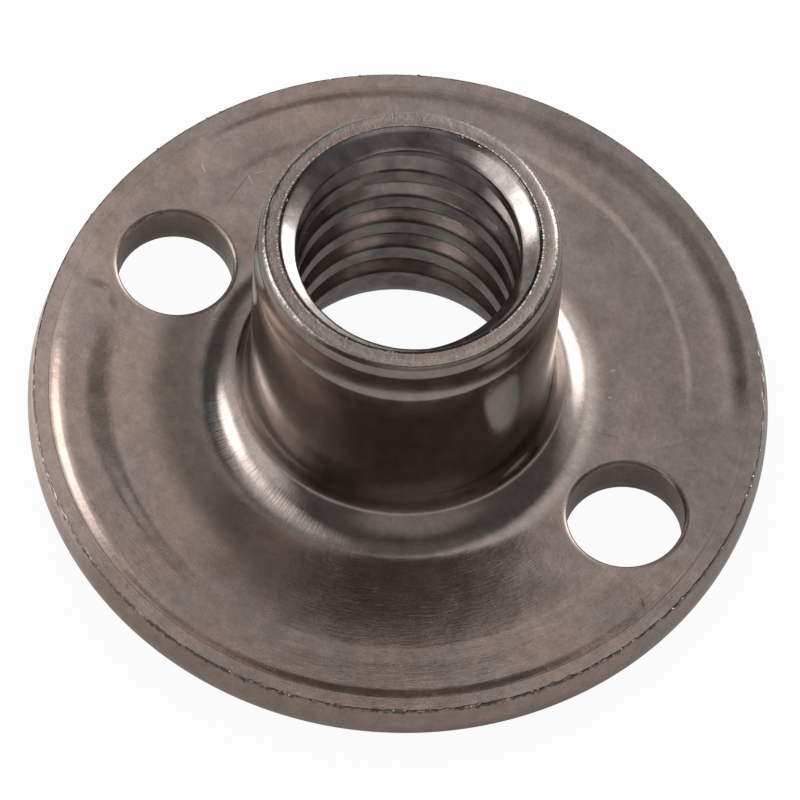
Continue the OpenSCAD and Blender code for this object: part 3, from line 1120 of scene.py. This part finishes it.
def steel_material(looks):
    """Bare steel with the finish of each part of the nut: tumbled, drawn, cut, sheared, and painted
    light, shade and glints.
    """
    material = bpy.data.materials.new("plain steel")
    w = shader_wires(material)
    zones = Zones(w)
    grain, fleck, hollow = zones.noise("grain"), zones.noise("fleck"), zones.noise("hollow")
    scratched = w.most(zones.flange, w.times(zones.body, BODY_HAIRS))
    hairs = w.times(hair_mask(w, zones.place, *HAIRS), scratched)
    strokes = {"dark stroke": 0.0, "bright stroke": 0.0}
    for start, end, width, depth in STROKES:
        mask = w.times(stroke_mask(w, zones.flat, start, end, width), zones.above, abs(depth))
        kind = "dark stroke" if depth > 0 else "bright stroke"
        strokes[kind] = w.add(strokes[kind], mask)

    tint = steel_tint(w, zones, looks, grain, fleck, hollow)
    for (kind, mask), paint in zip(strokes.items(), (looks.stained, looks.bright)):
        tint = w.blend(w.times(mask, COVERS[kind]), tint, paint)

    polished = w.most(zones.body, w.times(zones.bore, BORE_POLISH))
    rough = w.add(w.times(polished, looks.drawn), w.times(w.rest(polished), looks.satin))
    # what each texture adds to the roughness
    rough = w.add(rough, w.times(w.swing(grain), 0.10), w.times(w.swing(hollow), 0.08))
    rough = w.math("ADD", rough, w.times(hairs, 0.05), clamp=True)
    height = w.times(steel_relief(w, zones, grain, fleck, hollow, hairs), MICROMETRE)
    bump = w.node("ShaderNodeBump", named={"Strength": 1.0, "Distance": 1.0, "Height": height})
    shader = w.node("ShaderNodeBsdfPrincipled", named={
        "Base Color": tint, "Metallic": w.rest(w.times(zones.flange, looks.film)), "Roughness": rough,
        "Normal": bump.outputs[0],
    })
    w.node("ShaderNodeOutputMaterial", shader.outputs[0])
    return material


def burr_material(looks):
    """Fresh metal of the burrs, brighter than the rest."""
    material = bpy.data.materials.new("fresh steel")
    w = shader_wires(material)
    dull = w.noise(w.node("ShaderNodeTexCoord").outputs["Object"], *BURR_NOISE)
    tint = w.blend(w.fade(dull, *BURR_BRIGHT), looks.steel, looks.bright)
    shader = w.node("ShaderNodeBsdfPrincipled", named={
        "Base Color": tint, "Metallic": 1.0, "Roughness": w.add(BURR_ROUGH, w.times(dull, BURR_ROUGHER)),
    })
    w.node("ShaderNodeOutputMaterial", shader.outputs[0])
    return material


# ---------------------------------------------------------------- stage


WHITE = (1.0, 1.0, 1.0, 1.0)
# what the camera aims at, the width of its sensor in mm, its shift and where its view starts
AIM_H = 0.575 * MM
SENSOR_W = 36.0
SHIFT_X, SHIFT_Y = 0.0024, 0.0022
CLIP_START = 0.01
# the floor's half side, how far it lies below the nut, and its paint
FLOOR_HALF = 0.9
FLOOR_DROP = 0.01 * MM
FLOOR_PAINT = (0.86, 0.86, 0.86, 1.0)
# wide soft panels of the studio: azimuth from the camera's right, elevation, spread, all in degrees,
# and strength
PANELS = [
    (58, 20, 50, 1.1),
    (50, 23, 21, 4.0),
    (66, 62, 28, 0.72),
    (181, 16, 42, 1.2),
    (166, 36, 17, 3.8),
    (188, 50, 20, 0.5),
    (182, 60, 27, 0.85),
    (285, 18, 42, 0.28),
    (122, 0, 38, 0.40),
    (90, 88, 34, 0.10),
]


def stage_camera(looks):
    """Camera aimed at the middle of the flange."""
    turn, rise, roll = looks.camera_azimuth, looks.camera_elevation, looks.camera_roll
    back = Vector((math.sin(turn) * math.cos(rise), -math.cos(turn) * math.cos(rise), math.sin(rise)))
    level = Vector((math.cos(turn), math.sin(turn), 0))
    upright = back.cross(level)
    right = level * math.cos(roll) + upright * math.sin(roll)
    up = back.cross(right)
    data = bpy.data.cameras.new("camera")
    data.sensor_fit, data.sensor_width, data.lens = "HORIZONTAL", SENSOR_W, looks.lens
    data.shift_x, data.shift_y, data.clip_start = SHIFT_X, SHIFT_Y, CLIP_START
    camera = linked("camera", data)
    place = Vector((0, 0, AIM_H)) + back * looks.camera_distance
    camera.matrix_world = Matrix.Translation(place) @ Matrix((right, up, back)).transposed().to_4x4()
    bpy.context.scene.camera = camera


def own_white(w, looks):
    """How white the floor shows by itself to the camera and in mirrored or bent rays."""
    path = w.node("ShaderNodeLightPath").outputs
    bounced = w.times(w.add(path["Is Glossy Ray"], path["Is Transmission Ray"]), looks.floor_glow)
    return w.add(w.times(path["Is Camera Ray"], looks.floor_show), bounced)


def stage_floor(looks):
    """A wide pale floor that shows white and keeps the nut's shadow."""
    mesh = bpy.data.meshes.new("floor")
    points = [Vector((x, y, 0)) * FLOOR_HALF for x, y in ((-1, -1), (1, -1), (1, 1), (-1, 1))]
    mesh.from_pydata([(x, y, -FLOOR_DROP) for x, y, _ in points], [], [(0, 1, 2, 3)])
    material = bpy.data.materials.new("white floor")
    w = shader_wires(material)
    matt = w.node("ShaderNodeBsdfDiffuse", FLOOR_PAINT)
    white = w.node("ShaderNodeEmission", WHITE, 1.0)
    mixed = w.node("ShaderNodeMixShader", own_white(w, looks), matt.outputs[0], white.outputs[0])
    w.node("ShaderNodeOutputMaterial", mixed.outputs[0])
    mesh.materials.append(material)
    floor = linked("floor", mesh)


def stage_world(looks):
    """Soft studio light: a weak even level and a few wide panels, and white where the camera sees it."""
    world = bpy.data.worlds.new("studio")
    w = shader_wires(world)
    x, y, z = w.split(w.node("ShaderNodeTexCoord").outputs["Generated"])
    level = looks.even_light
    for azimuth, elevation, spread, strength in PANELS:
        turn, rise = math.radians(azimuth) + looks.camera_azimuth, math.radians(elevation)
        ray = (math.cos(turn) * math.cos(rise), math.sin(turn) * math.cos(rise), math.sin(rise))
        toward = w.add(*(w.times(axis, part) for axis, part in zip((x, y, z), ray)))
        level = w.add(level, w.times(w.fade(toward, math.cos(math.radians(spread)), 1.0), strength))
    shown = w.node("ShaderNodeLightPath").outputs["Is Camera Ray"]
    level = w.add(w.times(level, w.rest(shown)), shown)
    w.node("ShaderNodeOutputWorld", w.node("ShaderNodeBackground", WHITE, level).outputs[0])
    bpy.context.scene.world = world


# ---------------------------------------------------------------- operators


# edges of the nut's faces sharper than this stay sharp
SHARP_ANGLE = math.radians(28)
# burrs along each edge: their size against the sizes given, how far they lie inside its corner and how
# far they stray, the angle in degrees near which they crowd, and a number added to the seed
RIM_BURRS = (1.0, 0.006 * MM, 0.020 * MM, -50, 0)
MOUTH_BURRS = (1.5, 0.004 * MM, 0.008 * MM, 20, 10)
RIM_BURR_DROP = 0.006 * MM


class TEENUT_OT_nut(bpy.types.Operator):
    """Builds the nut: its drawn and coined blank with the thread cut into its bore"""

    bl_idname = "teenut.nut"
    bl_label = "Build the nut"

    def execute(self, context):
        scene = context.scene
        material = steel_material(scene.teenut_finish)
        skin, cone_low = blank_skin(scene.teenut_blank)
        nut = mesh_object("nut", skin, material)
        nut = cut_thread(nut, material, scene.teenut_blank, scene.teenut_thread, cone_low)
        nut.data.shade_smooth()
        nut.data.set_sharp_from_angle(angle=SHARP_ANGLE)
        keep_smooth(nut.data)
        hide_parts(NODE)
        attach(nut, "root")
        return {"FINISHED"}


class TEENUT_OT_burrs(bpy.types.Operator):
    """Sets the burrs along the rim's upper edge and inside the mouth"""

    bl_idname = "teenut.burrs"
    bl_label = "Set the burrs"

    def execute(self, context):
        blank, burrs = Blank(context.scene.teenut_blank), context.scene.teenut_burrs
        material = burr_material(context.scene.teenut_finish)
        tree = burr_tree(material)
        rim_z = blank.plate(blank.rim_top_r) - RIM_BURR_DROP
        mouth_z = OVERALL_H - MOUTH_BURRS[0] * burrs.burr_h
        edges = (
            ("rim_burr", burrs.rim_count, blank.rim_top_r, rim_z, RIM_BURRS),
            ("mouth_burr", burrs.mouth_count, blank.mouth_r, mouth_z, MOUTH_BURRS),
        )
        for name, count, radius, height, (size, inset, stray, heavy, seed) in edges:
            made = linked(name, bpy.data.meshes.new(name))
            run_tree(made, tree, material, {
                "Count": count, "Seed": burrs.seed + seed, "Edge Radius": radius - inset, "Stray": stray,
                "Edge Height": height, "Heavy Angle": math.radians(heavy), "Length": burrs.burr_l * size,
                "Width": burrs.burr_w * size, "Height": burrs.burr_h * size,
            })
            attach(made, "root")
        return {"FINISHED"}


class TEENUT_OT_stage(bpy.types.Operator):
    """Sets the floor, the studio light and the camera"""

    bl_idname = "teenut.stage"
    bl_label = "Set the stage"

    def execute(self, context):
        scene = context.scene
        looks = scene.teenut_stage
        scene.view_settings.view_transform = "Standard"
        stage_camera(looks)
        stage_floor(looks)
        stage_world(looks)
        return {"FINISHED"}


class TEENUT_PT_build(bpy.types.Panel):
    """Lists the steps that build the nut and its stage"""

    bl_idname = "TEENUT_PT_build"
    bl_label = "Tee nut"
    bl_space_type = "VIEW_3D"
    bl_region_type = "UI"
    bl_category = "Tee nut"

    def draw(self, context):
        column = self.layout.column()
        for operator in (TEENUT_OT_nut, TEENUT_OT_burrs, TEENUT_OT_stage):
            column.operator(operator.bl_idname)
        for name in GROUPS:
            group = getattr(context.scene, name)
            box = column.box()
            for key in group.bl_rna.properties.keys():
                if key not in ("rna_type", "name"):
                    box.prop(group, key)


GROUPS = {
    "teenut_blank": BlankSizes, "teenut_thread": ThreadSizes, "teenut_burrs": BurrSizes,
    "teenut_finish": FinishLooks, "teenut_stage": StageLooks,
}
CLASSES = (*GROUPS.values(), TEENUT_OT_nut, TEENUT_OT_burrs, TEENUT_OT_stage, TEENUT_PT_build)


def register():
    for kind in CLASSES:
        bpy.utils.register_class(kind)
    for name, kind in GROUPS.items():
        setattr(bpy.types.Scene, name, bpy.props.PointerProperty(type=kind))


def unregister():
    for name in GROUPS:
        delattr(bpy.types.Scene, name)
    for kind in reversed(CLASSES):
        bpy.utils.unregister_class(kind)


def main():
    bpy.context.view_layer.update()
    register()
    bpy.ops.teenut.nut()
    bpy.ops.teenut.burrs()
    bpy.ops.teenut.stage()


if __name__ == "__main__":
    main()
